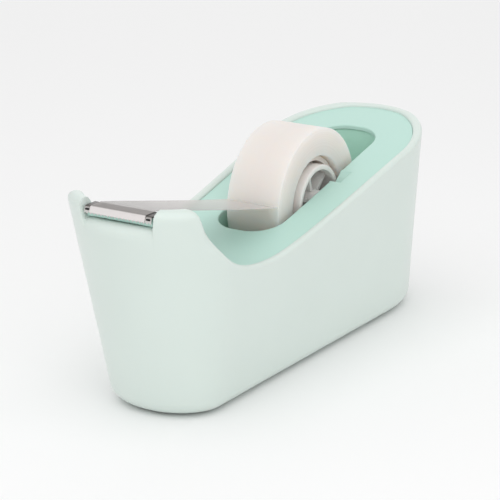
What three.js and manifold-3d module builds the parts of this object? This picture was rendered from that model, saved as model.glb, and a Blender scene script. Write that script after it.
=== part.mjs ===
// Desk tape dispenser with a weighted base, a lift-out tape hub and a saw-tooth cutter.
// Millimetres, +Z up. +X runs from the cutter nose to the high back, Y runs across.
// Shapes are drawn about a datum near the axle; the whole group is then moved so that the origin is
// the centre of the part's box, on the table.

import * as THREE from 'three';
import { mergeVertices } from 'three/addons/utils/BufferGeometryUtils.js';
import Module from 'manifold-3d';

const wasm = await Module();
wasm.setup();

// ---- driving dimensions ----

const centring = -3.3;
const gap = 0.3;
const wall = 2.7;

// outer casing: straight ruled sides between the foot and a level above the rim
const footZ = -1.12;
const footRound = 4.5;
const footRoundSteps = 4;
const loftTopZ = 80.8;
const footFrontX = -63;
const frontLean = -0.2319;
const footBackX = 84.1;
const backLean = -0.08;
const footHalfWidth = 18.4;
const sideFlare = 0.1413;
const frontCornerDepth = [13.7, 27];
const backCornerDepth = [28.2, 30];
const cornerSteps = 9;
const backFullness = 1.9;
const rimRoundLevels = [[62.2, 0], [63.5, 0.35], [64.7, 1.2], [65.4, 2.2], [65.7, 3]];

// rim wave, side view: flat nose, steep drop, dip, then a long rise to the back
const noseTop = [-67.4, 65.6];
const dip = [-28, 41.7];
const back = [74, 63.2];
const noseRun = 5.2;
const dropX = -65.2;
const dipRun = 18;
const riseKnee = [42, 56.8];
const backRise = 0.8;
const beyondEnds = 110;
const rimSteps = 14;
const deckDrop = 1.1;
const deckFrontX = -64.6;

// tape roll on its hub
const axle = [20.4, 44.9];
const tapeWidth = 19;
const windingsRadius = 23.5;
const coreOuterRadius = 14.3;
const coreInnerRadius = 12.7;
const coreRecess = 2.2;
const hubRimOuter = 11.9;
const hubRimInner = 10.2;
const hubHalfWidth = 10.3;
const hubBossRadius = 3.6;
const hubWebThickness = 1.6;
const hubSpokes = 6;
const firstSpoke = 15;
const spokeThickness = 1.2;
const spokeInset = 2.4;
const gripThickness = 1.6;
const gripInset = 3.2;
const weld = 0.4;
const pinChamfer = 0.35;
const pinRadius = 1.25;
const pinBoreRadius = 1.35;
const pinHalfLength = 14.6;
const roundSteps = 48;

// slot and tape well
const slotFrontX = -11.8;
const slotBackX = 61.3;
const slotHalfWidth = 11.2;
const slotCorner = 9.6;
const deckSheet = 1.3;
const skirtDepth = 7;
const wellClearance = 0.4;
const wellWall = 1.5;
const wellFloorZ = 12.4;
const wellFloorRound = 20;

// notches: each groove leans back so that pulling the tape seats the pin
const grooveWidth = 3.1;
const grooveLean = 38.7;
const grooveDepth = 3.9;
const blockFrontX = 14;
const blockBackX = 36;
const blockFloorZ = 38.5;
const blockEnd = 1.2;
const grooveReach = 26;
const skirtWall = 1.5;
const skin = 0.5;

// cutter
const bladeThickness = 0.35;
const bladeHalfWidth = 11.6;
const bladeBackX = -68.6;
const bladeFoldX = -73.9;
const bladeTopZ = 63.8;
const lipDrop = 2.2;
const lipForward = 0.6;
const toothPitch = 1.19;
const toothDepth = 0.6;
const toothWidth = 1;
const tabFrontX = -72.4;
const tabDrop = 2.5;
const bridgeBackRun = 2;
const bridgeStep = 1.2;
const bridgeSlope = 0.3;
const pocketHalfWidth = 12.3;
const pocketBackX = -66;
const noseFloorZ = 60.3;
const ledge = [[-100, -1], [-75.5, -0.6], [-73.6, 0]];
const noseCapThickness = 2;
const filmThickness = 0.16;
const peelRise = 3.6;
const filmEndRise = 0.5;
const dishLevels = [[61.2, 7.5], [62.8, 5], [64.4, 3.8], [80, 3.4]];

// base
const padDrop = 0.5;
const padThickness = 1.2;
const lipInset = 5.7;
const lipHeight = 3.2;
const lipSlope = 3.4;
const plateZ = -0.13;
const plateThickness = 2;
const ballastHalfWidth = 10;
const ballastHeight = 9;
const ballastFrontX = -44;
const ballastBackX = 60;
const ballastCorner = 2;
const fenceHeight = 4;
const fenceWall = 1.4;
const padInset = 6.6;
const screwSpots = [[-50, 7.8], [-50, -7.8], [66, 7.8], [66, -7.8]];
const screwRadius = 1.3;
const screwHeadRadius = 2.6;
const screwHeadHeight = 1.1;
const screwLength = 9;
const bossRadius = 3.2;
const bossEnd = 1.5;
const ribThickness = 1.6;
const ribHeight = 8;
const holeClearance = 0.3;
const threadClearance = 0.15;
const lugThickness = 2.2;
const wellScrewSpots = [[-18, 7], [-18, -7], [66.2, 6], [66.2, -6]];
const wellScrewLength = 7;
const bridgeScrewSpots = [[-69, 7.5], [-69, -7.5]];
const bridgeScrewRadius = 1;
const bridgeScrewHeadRadius = 1.9;
const bridgeScrewLength = 3.6;

// ---- materials ----

const plastic = (color, roughness) => new THREE.MeshStandardMaterial({ color, roughness, metalness: 0 });
const metal = (color, roughness) => new THREE.MeshStandardMaterial({ color, roughness, metalness: 1 });
const shellMint = plastic(0xd6e2dc, 0.4);
const deckMint = plastic(0xbce0d4, 0.45);
const wellMint = plastic(0x9fc8b6, 0.5);
const clearHub = new THREE.MeshStandardMaterial({
  color: 0xcfc8c4, roughness: 0.2, metalness: 0, transparent: true, opacity: 0.75,
});

// ---- solids and shapes ----

function solid(geometry) {
  const bare = geometry.clone();
  bare.deleteAttribute('normal');
  bare.deleteAttribute('uv');
  const merged = mergeVertices(bare, 1e-4);
  return new wasm.Manifold(new wasm.Mesh({
    numProp: 3,
    vertProperties: new Float32Array(merged.attributes.position.array),
    triVerts: new Uint32Array(merged.index.array),
  }));
}

function geometryOf(body) {
  const mesh = body.getMesh();
  const geometry = new THREE.BufferGeometry();
  geometry.setAttribute('position', new THREE.BufferAttribute(new Float32Array(mesh.vertProperties), 3));
  geometry.setIndex(new THREE.BufferAttribute(new Uint32Array(mesh.triVerts), 1));
  return geometry;
}

function box(x0, x1, y0, y1, z0, z1) {
  const geometry = new THREE.BoxGeometry(x1 - x0, y1 - y0, z1 - z0);
  geometry.translate((x0 + x1) / 2, (y0 + y1) / 2, (z0 + z1) / 2);
  return solid(geometry);
}

// a side-view outline in X and Z, run across from y0 to y1
function across(points, y0, y1) {
  const shape = new THREE.Shape(points.map(([x, z]) => new THREE.Vector2(x, z)));
  const geometry = new THREE.ExtrudeGeometry(shape, { depth: y1 - y0, bevelEnabled: false, curveSegments: 8 });
  geometry.rotateX(Math.PI / 2);
  geometry.translate(0, y1, 0);
  return solid(geometry);
}

// a plan outline in X and Y, run up from z0 to z1
function upright(shape, z0, z1) {
  const geometry = new THREE.ExtrudeGeometry(shape, { depth: z1 - z0, bevelEnabled: false, curveSegments: 7 });
  geometry.translate(0, 0, z0);
  return solid(geometry);
}

// a round body: profile points are radius and position along the axis
function turned(points, steps) {
  return new THREE.LatheGeometry(points.map(([r, a]) => new THREE.Vector2(r, a)), steps);
}

function turnedUp(points, steps, x, y) {
  const geometry = turned(points, steps);
  geometry.rotateX(Math.PI / 2);
  geometry.translate(x, y, 0);
  return solid(geometry);
}

// a round body whose axis is the tape axle
function turnedOnAxle(points, steps = roundSteps) {
  const geometry = turned(points, steps);
  geometry.translate(axle[0], 0, 0);
  const body = solid(geometry);
  return body.translate([0, 0, axle[1]]);
}

function cylinderUp(radius, x, y, z0, z1, steps = 20) {
  return turnedUp([[0, z0], [radius, z0], [radius, z1], [0, z1]], steps, x, y);
}

function ring(inner, outer, halfWidth) {
  return [[inner, -halfWidth], [outer, -halfWidth], [outer, halfWidth], [inner, halfWidth], [inner, -halfWidth]];
}

const mix = (range, t) => range[0] + (range[1] - range[0]) * t;
const fuller = (value) => Math.sign(value) * Math.abs(value) ** (2 / backFullness);

// plan outline of the casing at height z, moved inwards by inset
function casingOutline(z, inset) {
  const rise = z - footZ;
  const t = rise / (loftTopZ - footZ);
  const front = footFrontX + frontLean * rise + inset;
  const rear = footBackX + backLean * rise - inset;
  const half = footHalfWidth + sideFlare * rise - inset;
  const frontDepth = mix(frontCornerDepth, t) - inset * 0.5;
  const rearDepth = mix(backCornerDepth, t) - inset * 0.5;
  const points = [];
  for (let i = 0; i <= 2 * cornerSteps; i += 1) {
    const angle = Math.PI / 2 + (Math.PI * i) / (2 * cornerSteps);
    points.push([front + frontDepth + frontDepth * Math.cos(angle), half * Math.sin(angle), z]);
  }
  for (let i = 0; i <= 2 * cornerSteps; i += 1) {
    const angle = -Math.PI / 2 + (Math.PI * i) / (2 * cornerSteps);
    points.push([rear - rearDepth + rearDepth * fuller(Math.cos(angle)), half * fuller(Math.sin(angle)), z]);
  }
  return points;
}

// a closed body through a stack of outlines with equal point counts, lowest first
function loft(outlines) {
  const count = outlines[0].length;
  const positions = outlines.flat(2);
  const index = [];
  for (let level = 0; level + 1 < outlines.length; level += 1) {
    for (let i = 0; i < count; i += 1) {
      const a = level * count + i;
      const b = level * count + ((i + 1) % count);
      index.push(a, b, b + count, a, b + count, a + count);
    }
  }
  const top = (outlines.length - 1) * count;
  for (let i = 1; i + 1 < count; i += 1) {
    index.push(0, i + 1, i);
    index.push(top, top + i, top + i + 1);
  }
  const geometry = new THREE.BufferGeometry();
  geometry.setAttribute('position', new THREE.Float32BufferAttribute(positions, 3));
  geometry.setIndex(index);
  return solid(geometry);
}

const casingLoft = (inset, z0, z1) => loft([casingOutline(z0, inset), casingOutline(z1, inset)]);

// the rim wave as side-view points, lowered by drop
function wave(start, drop) {
  const curve = new THREE.CurvePath();
  const v = (x, z) => new THREE.Vector2(x, z - drop);
  curve.add(new THREE.CubicBezierCurve(
    v(start[0], start[1]), v(start[0] + noseRun, start[1]), v(dropX, dip[1]), v(dip[0], dip[1])));
  curve.add(new THREE.CubicBezierCurve(
    v(dip[0], dip[1]), v(dip[0] + dipRun, dip[1]), v(riseKnee[0], riseKnee[1]), v(back[0], back[1])));
  const points = curve.getPoints(rimSteps).map((p) => [p.x, p.y]);
  return [[-beyondEnds, start[1] - drop], ...points, [beyondEnds, back[1] + backRise - drop]];
}

const rimWave = wave(noseTop, 0);
const deckWave = (drop) => wave(noseTop, deckDrop + drop);

const underWave = (points) => across([...points, [beyondEnds, -20], [-beyondEnds, -20]], -60, 60);
const betweenWaves = (low, high) => underWave(high).subtract(underWave(low));

// rounded slot outline, grown by grow
function slotShape(grow) {
  const x0 = slotFrontX - grow;
  const x1 = slotBackX + grow;
  const half = slotHalfWidth + grow;
  const corner = slotCorner + grow;
  const shape = new THREE.Shape();
  shape.moveTo(x0 + corner, -half);
  shape.lineTo(x1 - corner, -half);
  shape.absarc(x1 - corner, -half + corner, corner, -Math.PI / 2, 0);
  shape.lineTo(x1, half - corner);
  shape.absarc(x1 - corner, half - corner, corner, 0, Math.PI / 2);
  shape.lineTo(x0 + corner, half);
  shape.absarc(x0 + corner, half - corner, corner, Math.PI / 2, Math.PI);
  shape.lineTo(x0, -half + corner);
  shape.absarc(x0 + corner, -half + corner, corner, Math.PI, Math.PI * 1.5);
  return shape;
}

// ---- casing ----

function outerShell() {
  const levels = [];
  for (let i = 0; i <= footRoundSteps; i += 1) {
    const angle = (Math.PI / 2) * (i / footRoundSteps);
    const z = footZ + footRound * (1 - Math.cos(angle));
    levels.push(casingOutline(z, footRound * (1 - Math.sin(angle))));
  }
  const roundedBody = loft([...levels, ...rimRoundLevels.map(([z, inset]) => casingOutline(z, inset))]);
  const cavity = loft([
    casingOutline(footZ - 5, lipInset), casingOutline(footZ + lipHeight, lipInset),
    casingOutline(footZ + lipHeight + lipSlope, wall), casingOutline(loftTopZ + 5, wall),
  ]);
  let shell = roundedBody.subtract(cavity);
  const bossFloorZ = plateZ + plateThickness + gap;
  const inside = casingLoft(wall * 0.5, footZ - 5, loftTopZ);
  for (const [x, y] of screwSpots) {
    const side = Math.sign(y);
    const boss = cylinderUp(bossRadius, x, y, bossFloorZ, bossFloorZ + screwLength + bossEnd);
    const rib = box(x - ribThickness / 2, x + ribThickness / 2,
      Math.min(y, side * 30), Math.max(y, side * 30), bossFloorZ, bossFloorZ + ribHeight);
    shell = shell.add(boss.add(rib).intersect(inside));
  }
  for (const [x, y] of screwSpots) {
    const pilotTop = bossFloorZ + screwLength;
    shell = shell.subtract(cylinderUp(screwRadius + threadClearance, x, y, bossFloorZ - 1, pilotTop));
  }
  shell = shell.intersect(underWave(rimWave));
  const dish = loft(dishLevels.map(([z, inset]) => casingOutline(z, inset)));
  const noseCap = box(-100, deckFrontX - gap, -60, 60, noseFloorZ - noseCapThickness, 80)
    .intersect(roundedBody)
    .intersect(underWave(rimWave))
    .subtract(dish);
  const pocket = across([
    ...ledge.map(([x, z]) => [x, noseFloorZ + z]), [pocketBackX, noseFloorZ], [pocketBackX, 80], [-100, 80],
  ], -pocketHalfWidth, pocketHalfWidth);
  shell = shell.add(noseCap).subtract(pocket);
  for (const [x, y] of bridgeScrewSpots) {
    const seatZ = noseFloorZ - noseCapThickness;
    shell = shell.subtract(cylinderUp(bridgeScrewRadius + holeClearance, x, y, 50, 70));
    shell = shell.subtract(cylinderUp(bridgeScrewHeadRadius + holeClearance, x, y, 50, seatZ));
  }
  return shell;
}

// ---- deck ----

// side-view outline of a notch groove, from the pin seat up and back through the deck
function groove(width) {
  const lean = THREE.MathUtils.degToRad(grooveLean);
  const along = [Math.cos(lean), Math.sin(lean)];
  const points = [];
  const seatSteps = 8;
  for (let i = 0; i <= seatSteps; i += 1) {
    const angle = lean + Math.PI / 2 + (Math.PI * i) / seatSteps;
    points.push([axle[0] + (width / 2) * Math.cos(angle), axle[1] + (width / 2) * Math.sin(angle)]);
  }
  const [firstX, firstZ] = points[0];
  const [lastX, lastZ] = points[seatSteps];
  points.push([lastX + grooveReach * along[0], lastZ + grooveReach * along[1]]);
  points.push([firstX + grooveReach * along[0], firstZ + grooveReach * along[1]]);
  return points;
}

function deckInsert() {
  const inset = wall + gap;
  const plan = casingLoft(inset, 0, loftTopZ);
  const sheet = betweenWaves(deckWave(deckSheet), deckWave(0)).intersect(plan);
  const underSkin = betweenWaves(deckWave(skirtDepth), deckWave(skin));
  const skirt = underSkin.intersect(plan.subtract(casingLoft(inset + skirtWall, -5, loftTopZ + 5)));
  const blockHalf = slotHalfWidth + grooveDepth + blockEnd;
  const blocks = box(blockFrontX, blockBackX, -blockHalf, blockHalf, blockFloorZ, 70)
    .intersect(underWave(deckWave(skin)));
  let deck = sheet.add(skirt).add(blocks);
  for (const [x, y] of wellScrewSpots) {
    deck = deck.add(cylinderUp(bossRadius, x, y, 20, 80).intersect(underSkin));
  }
  deck = deck.subtract(upright(slotShape(0), 0, 90));
  const notch = across(groove(grooveWidth), -slotHalfWidth - grooveDepth, slotHalfWidth + grooveDepth);
  deck = deck.subtract(notch);
  for (const [x, y] of wellScrewSpots) {
    const pilot = cylinderUp(screwRadius + threadClearance, x, y, 20, 80)
      .intersect(underWave(deckWave(deckSheet - 0.4)));
    deck = deck.subtract(pilot);
  }
  return deck.intersect(box(deckFrontX, 100, -60, 60, -20, 90));
}

function lugHeight(x) {
  const wavePoints = deckWave(skirtDepth + gap);
  const next = wavePoints.findIndex((p) => p[0] >= x);
  const [x0, z0] = wavePoints[next - 1];
  const [x1, z1] = wavePoints[next];
  return z0 + ((z1 - z0) * (x - x0)) / (x1 - x0) - bossRadius * 0.35;
}

// side view of the inside of the well: flat floor, large rounds up to the end walls
function wellSide(grow) {
  const x0 = slotFrontX - wellClearance - grow;
  const x1 = slotBackX + wellClearance + grow;
  const round = wellFloorRound;
  const floor = wellFloorZ + wellWall - grow;
  const steps = 6;
  const points = [];
  for (let i = 0; i <= steps; i += 1) {
    const angle = Math.PI + (Math.PI / 2) * (i / steps);
    points.push([x0 + round + round * Math.cos(angle), floor + round + round * Math.sin(angle)]);
  }
  for (let i = 0; i <= steps; i += 1) {
    const angle = Math.PI * 1.5 + (Math.PI / 2) * (i / steps);
    points.push([x1 - round + round * Math.cos(angle), floor + round + round * Math.sin(angle)]);
  }
  return [...points, [x1, 90], [x0, 90]];
}

function tapeWell() {
  const outerHalf = slotHalfWidth + wellClearance + wellWall;
  const innerHalf = slotHalfWidth + wellClearance;
  const outer = across(wellSide(wellWall), -outerHalf, outerHalf)
    .intersect(upright(slotShape(wellClearance + wellWall), 0, 90));
  const inner = across(wellSide(0), -innerHalf, innerHalf).intersect(upright(slotShape(wellClearance), 0, 90));
  let well = outer;
  for (const [x, y] of wellScrewSpots) {
    const top = lugHeight(x);
    const inwards = x < axle[0] ? slotFrontX : slotBackX;
    const lug = cylinderUp(bossRadius, x, y, top - lugThickness, top)
      .add(box(Math.min(x, inwards), Math.max(x, inwards), y - bossRadius, y + bossRadius, top - lugThickness, top));
    well = well.add(lug);
  }
  well = well.subtract(inner);
  for (const [x, y] of wellScrewSpots) {
    well = well.subtract(cylinderUp(screwRadius + holeClearance, x, y, 10, 70));
  }
  const blockRoom = box(blockFrontX - gap, blockBackX + gap, -30, 30, blockFloorZ - gap, 90);
  return well.intersect(underWave(deckWave(deckSheet + gap))).subtract(blockRoom);
}

// ---- cutter ----

function cutterBridge() {
  const top = bladeTopZ - bladeThickness - gap;
  const floor = noseFloorZ + gap;
  const half = bladeHalfWidth - 0.4;
  let bridge = across([
    [bladeFoldX + 2 * bladeThickness + gap, floor], [bladeBackX + bridgeBackRun, floor],
    [bladeBackX + bridgeBackRun, top - bridgeStep], [bladeBackX, top - bridgeStep + bridgeSlope],
    [bladeBackX - bridgeSlope, top], [bladeFoldX + bladeThickness + gap, top],
  ], -half, half);
  for (const [x, y] of bridgeScrewSpots) {
    bridge = bridge.subtract(cylinderUp(bridgeScrewRadius + threadClearance, x, y, 50, floor + 1));
  }
  return bridge;
}

function cutterBlade() {
  const t = bladeThickness;
  const topZ = bladeTopZ;
  const lipX = bladeFoldX - lipForward;
  const lipZ = topZ - lipDrop;
  let blade = across([
    [bladeBackX - 0.2, topZ - t], [bladeBackX - 0.2, topZ], [bladeFoldX + 0.3, topZ],
    [bladeFoldX, topZ - 0.3], [lipX, lipZ], [lipX + t, lipZ], [bladeFoldX + t, topZ - t],
  ], -bladeHalfWidth, bladeHalfWidth);
  for (const side of [-1, 1]) {
    const outer = side * bladeHalfWidth;
    const innerFace = side * (bladeHalfWidth - t * 0.8);
    blade = blade.add(box(tabFrontX, bladeBackX - 2 * gap, Math.min(outer, innerFace), Math.max(outer, innerFace),
      topZ - tabDrop, topZ - t * 0.5));
  }
  const teeth = Math.floor((2 * bladeHalfWidth) / toothPitch);
  for (let i = 0; i < teeth; i += 1) {
    const y = -bladeHalfWidth + toothPitch * (i + 0.5);
    const cut = new THREE.Shape();
    cut.moveTo(y - toothWidth / 2, lipZ - 0.1);
    cut.lineTo(y + toothWidth / 2, lipZ - 0.1);
    cut.lineTo(y, lipZ + toothDepth);
    const geometry = new THREE.ExtrudeGeometry(cut, { depth: 3, bevelEnabled: false });
    geometry.rotateX(Math.PI / 2);
    geometry.rotateZ(Math.PI / 2);
    geometry.translate(lipX - 1, 0, 0);
    blade = blade.subtract(solid(geometry));
  }
  return blade;
}

// ---- tape and hub ----

function tapeWindings() {
  return turnedOnAxle(ring(coreOuterRadius + gap, windingsRadius, tapeWidth / 2), 64);
}

function tapeCore() {
  return turnedOnAxle(ring(coreInnerRadius, coreOuterRadius, tapeWidth / 2 - coreRecess));
}

function hubWheel() {
  let hub = turnedOnAxle(ring(hubRimInner, hubRimOuter, hubHalfWidth));
  hub = hub.add(turnedOnAxle(ring(pinBoreRadius + 1, hubRimInner + weld, hubWebThickness / 2)));
  hub = hub.add(turnedOnAxle([
    [0, -hubHalfWidth], [hubBossRadius, -hubHalfWidth], [hubBossRadius, hubHalfWidth], [0, hubHalfWidth],
  ], 24));
  const spokeHalf = hubHalfWidth - spokeInset;
  const gripHalf = hubHalfWidth - gripInset;
  for (let i = 0; i < hubSpokes; i += 1) {
    const angle = (360 * i) / hubSpokes;
    const spoke = box(hubBossRadius - weld, hubRimInner + weld, -spokeHalf, spokeHalf,
      -spokeThickness / 2, spokeThickness / 2);
    const grip = box(hubRimOuter - weld, coreInnerRadius - gap, -gripHalf, gripHalf,
      -gripThickness / 2, gripThickness / 2);
    hub = hub.add(spoke.add(grip).rotate([0, angle + firstSpoke, 0]).translate([axle[0], 0, axle[1]]));
  }
  return hub.subtract(turnedOnAxle([
    [0, -20], [pinBoreRadius, -20], [pinBoreRadius, 20], [0, 20],
  ], 32));
}

function axlePin() {
  const end = pinHalfLength - pinChamfer;
  return turnedOnAxle([
    [0, -pinHalfLength], [pinRadius - pinChamfer, -pinHalfLength], [pinRadius, -end],
    [pinRadius, end], [pinRadius - pinChamfer, pinHalfLength], [0, pinHalfLength],
  ], 32);
}

// the free strip: from the front of the roll, over the cutter's top and down to the teeth
function tapeTail() {
  const thickness = filmThickness;
  const peelX = axle[0] - windingsRadius - gap;
  const peelZ = axle[1] + peelRise;
  const topZ = bladeTopZ + gap;
  const foldX = bladeFoldX - gap;
  const lipX = foldX - lipForward;
  const lipZ = bladeTopZ - lipDrop + filmEndRise;
  const underside = [[peelX - thickness, peelZ], [bladeBackX, topZ], [foldX, topZ], [lipX, lipZ]];
  const upperSide = [
    [lipX - thickness, lipZ], [foldX - thickness, topZ + thickness], [bladeBackX, topZ + thickness],
    [peelX, peelZ + thickness],
  ];
  return across([...underside, ...upperSide], -tapeWidth / 2, tapeWidth / 2);
}

// ---- base ----

function basePlate() {
  const inset = lipInset + gap;
  let plate = loft([casingOutline(plateZ, inset), casingOutline(plateZ + plateThickness, inset)]);
  const fenceTop = plateZ + plateThickness + fenceHeight;
  const outer = box(ballastFrontX - gap - fenceWall, ballastBackX + gap + fenceWall,
    -ballastHalfWidth - gap - fenceWall, ballastHalfWidth + gap + fenceWall, plateZ + 1, fenceTop);
  const inner = box(ballastFrontX - gap, ballastBackX + gap,
    -ballastHalfWidth - gap, ballastHalfWidth + gap, plateZ + plateThickness, fenceTop + 1);
  plate = plate.add(outer.subtract(inner));
  for (const [x, y] of screwSpots) {
    plate = plate.subtract(cylinderUp(screwRadius + holeClearance, x, y, plateZ - 1, 12));
    const recessTop = plateZ + screwHeadHeight + 0.1;
    plate = plate.subtract(cylinderUp(screwHeadRadius + holeClearance, x, y, plateZ - 1, recessTop));
  }
  return plate;
}

function ballastBar() {
  const z0 = plateZ + plateThickness + gap;
  const shape = new THREE.Shape();
  const corner = ballastCorner;
  const [x0, x1, half] = [ballastFrontX, ballastBackX, ballastHalfWidth];
  shape.moveTo(x0 + corner, -half);
  shape.lineTo(x1 - corner, -half);
  shape.lineTo(x1, -half + corner);
  shape.lineTo(x1, half - corner);
  shape.lineTo(x1 - corner, half);
  shape.lineTo(x0 + corner, half);
  shape.lineTo(x0, half - corner);
  shape.lineTo(x0, -half + corner);
  return upright(shape, z0, z0 + ballastHeight);
}

function foamPad() {
  const outline = casingOutline(footZ, padInset);
  const z0 = footZ - padDrop;
  return loft([z0, z0 + padThickness].map((z) => outline.map(([x, y]) => [x, y, z])));
}

// a pan-head screw pointing up, with the bottom of its head at z
function screw(x, y, z, length, radius = screwRadius, headRadius = screwHeadRadius) {
  const shoulder = z + screwHeadHeight;
  return turnedUp([
    [0, z], [headRadius - 0.4, z], [headRadius, z + 0.4], [headRadius, shoulder], [radius, shoulder],
    [radius, shoulder + length - 1], [0.3, shoulder + length], [0, shoulder + length],
  ], 16, x, y);
}

// ---- assembly ----

const dispenser = new THREE.Group();

function place(name, body, material) {
  const mesh = new THREE.Mesh(geometryOf(body), material);
  mesh.name = name;
  dispenser.add(mesh);
}

place('outer_shell', outerShell(), shellMint);
place('deck_insert', deckInsert(), deckMint);
place('tape_well', tapeWell(), wellMint);
place('cutter_bridge', cutterBridge(), deckMint);
place('cutter_blade', cutterBlade(), metal(0x9a9390, 0.3));
place('tape_windings', tapeWindings(), plastic(0xe9e5e0, 0.55));
place('tape_core', tapeCore(), plastic(0xd9cfc6, 0.6));
place('hub_wheel', hubWheel(), clearHub);
place('axle_pin', axlePin(), metal(0xb9bcbf, 0.3));
place('tape_tail', tapeTail(), plastic(0xd8d6d2, 0.5));
place('base_plate', basePlate(), wellMint);
place('ballast_bar', ballastBar(), metal(0x5d5f62, 0.6));
place('foam_pad', foamPad(), plastic(0x3b3d3e, 0.95));
screwSpots.forEach(([x, y], i) => {
  place(`base_screw_${i + 1}`, screw(x, y, plateZ + 0.05, screwLength - 0.6), metal(0x8e9194, 0.4));
});
wellScrewSpots.forEach(([x, y], i) => {
  const z = lugHeight(x) - lugThickness - gap - screwHeadHeight;
  place(`well_screw_${i + 1}`, screw(x, y, z, wellScrewLength), metal(0x8e9194, 0.4));
});

bridgeScrewSpots.forEach(([x, y], i) => {
  const z = noseFloorZ - noseCapThickness - gap - screwHeadHeight;
  const body = screw(x, y, z, bridgeScrewLength, bridgeScrewRadius, bridgeScrewHeadRadius);
  place(`bridge_screw_${i + 1}`, body, metal(0x8e9194, 0.4));
});

// the datum to the centre of the box, and the pad's underside to the table
dispenser.position.set(centring, 0, padDrop - footZ);

export default dispenser;
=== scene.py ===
"""Desk tape dispenser: pearl mint casing, mint deck, weighted base, clear tape hub and toothed cutter.

Shapes are worked out in millimetres about a datum near the axle, and scaled to metres when a mesh is made.
"""

import math
import bmesh
import bpy
import numpy as np
from mathutils import Matrix, Quaternion, Vector


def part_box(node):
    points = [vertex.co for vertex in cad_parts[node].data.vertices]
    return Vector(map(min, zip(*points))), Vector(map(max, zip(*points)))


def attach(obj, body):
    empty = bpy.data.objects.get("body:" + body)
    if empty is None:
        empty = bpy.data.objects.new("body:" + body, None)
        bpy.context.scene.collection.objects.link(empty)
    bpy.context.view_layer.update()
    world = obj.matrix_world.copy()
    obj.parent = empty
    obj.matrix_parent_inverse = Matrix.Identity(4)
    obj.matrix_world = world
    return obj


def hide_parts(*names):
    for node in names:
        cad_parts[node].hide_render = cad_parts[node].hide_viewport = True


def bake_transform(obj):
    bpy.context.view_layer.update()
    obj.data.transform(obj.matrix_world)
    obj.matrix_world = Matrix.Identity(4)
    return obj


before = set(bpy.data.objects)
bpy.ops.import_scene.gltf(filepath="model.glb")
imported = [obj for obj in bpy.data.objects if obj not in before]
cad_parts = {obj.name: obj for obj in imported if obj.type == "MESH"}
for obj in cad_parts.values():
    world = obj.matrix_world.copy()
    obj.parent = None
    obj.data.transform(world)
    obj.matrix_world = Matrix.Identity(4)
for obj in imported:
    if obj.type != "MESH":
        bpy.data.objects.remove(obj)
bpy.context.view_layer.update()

MM = 0.001
WELD = 0.002

# ---- driving dimensions of the casing, mm ----
FOOT_Z, FOOT_ROUND, LIP_INSET = -1.12, 4.5, 5.7
LIP_RISE, SHELF_RISE = 3.2, 6.6
WALL, GAP = 2.7, 0.3
LOFT_TOP_Z = 80.8
FRONT_X, FRONT_LEAN = -63.0, -0.2319
REAR_X, REAR_LEAN = 84.1, -0.08
HALF_WIDTH, SIDE_FLARE = 18.4, 0.1413
FRONT_DEPTH, REAR_DEPTH = (13.7, 27.0), (28.2, 30.0)
DEPTH_SHARE = 0.5
REAR_FULLNESS = 1.9
NOSE_TOP, DIP, BACK_TOP = (-67.4, 65.6), (-28.0, 41.7), (74.0, 63.2)
NOSE_RUN, DROP_X, DIP_RUN, RISE_KNEE = 5.2, -65.2, 18.0, (42.0, 56.8)
WAVE_END, BACK_RISE = 110, 0.8
NOSE_FLOOR, DISH_FLOOR, DISH_RUN = 60.3, 61.2, 4.1
RIM_ROUND, NOSE_ROUND, RIM_INNER_ROUND = (1.15, 1.0), (3.4, 3.4), 0.75
NOSE_START, NOSE_BLEND = -57, 9
SEAM_DEPTH, UNDER_DECK, UNDER_RIM, LEAST_RUN = 2.4, 3.5, 4, 0.05

# the cutter's recess in the nose, and the ledge that slopes down in front of it, mm
POCKET_HALF, POCKET_BACK = 12.3, -66.0
POCKET_SIDE_BLEND, POCKET_BACK_BLEND = 0.55, 1
LEDGE_X, LEDGE_Z = (-79, -77.1, -75.5, -73.6), (-1.8, -1.0, -0.6, 0)
NOSE_HALF_WIDTH = 26.8

# deck, slot, notches and well, mm
DECK_DROP, DECK_FRONT = 1.1, -64.6
DECK_SHEET, DECK_SEAM, DECK_EDGE, DECK_SKIRT, DECK_UNDER = 1.3, 0.08, 0.4, 3.0, 2.2
SLOT_HALF, SLOT_CORNER = 11.2, 9.6
SLOT_X = (-11.8, 61.3)
GROOVE_WIDTH, GROOVE_LEAN, GROOVE_DEPTH = 3.1, math.radians(38.7), 3.9
BLOCK_X, BLOCK_FLOOR, BLOCK_DROP = (14.0, 36.0), 38.5, 0.6
WELL_CLEARANCE, WELL_WALL, WELL_ROUND, WELL_FLOOR = 0.4, 1.5, 20.0, 13.9
WELL_SKIRT = 8

# cutter, strip and hub, mm
BLADE_SHEET, BLADE_FOLD, BLADE_BEND = 0.35, 0.6, 0.45
TOOTH_PITCH, TOOTH_HEIGHT = 1.19, 0.62
LIP_DROP, TAB_DROP, TAB_SHEET = 2.2, 2.5, 0.28
STRIP_SHEET, STRIP_BEND, STRIP_SAG, PEEL_RISE = 0.12, 0.5, 0.3, 3.6
CORE_INNER = 12.7
HUB_OUTER, HUB_INNER, BOSS, BOSS_BORE = 11.9, 10.2, 3.6, 1.36
WEB_HALF, SPOKES, SPOKE_TURN = 0.8, 6, 15
SPOKE_THICK, SPOKE_INSET = 1.2, 2.4
GRIP_THICK, GRIP_INSET = 1.6, 3.2

# the shapes are drawn about a datum near the axle; SHIFT is where the frame puts that datum
AXLE = np.array([20.4, 0.0, 44.9])
tape_low, tape_high = (np.array(corner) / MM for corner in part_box("tape_windings"))
SHIFT = (tape_low + tape_high) / 2 - AXLE

# ---- mesh helpers ----


def smooth(t):
    t = np.clip(t, 0.0, 1.0)
    return t * t * (3 - 2 * t)


def mix(a, b, t):
    return a + (b - a) * t


def quarter(steps, first=0):
    """The angles of a quarter turn in even steps, starting from the step called first."""
    return [math.pi / 2 * k / steps for k in range(first, steps + 1)]


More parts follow.
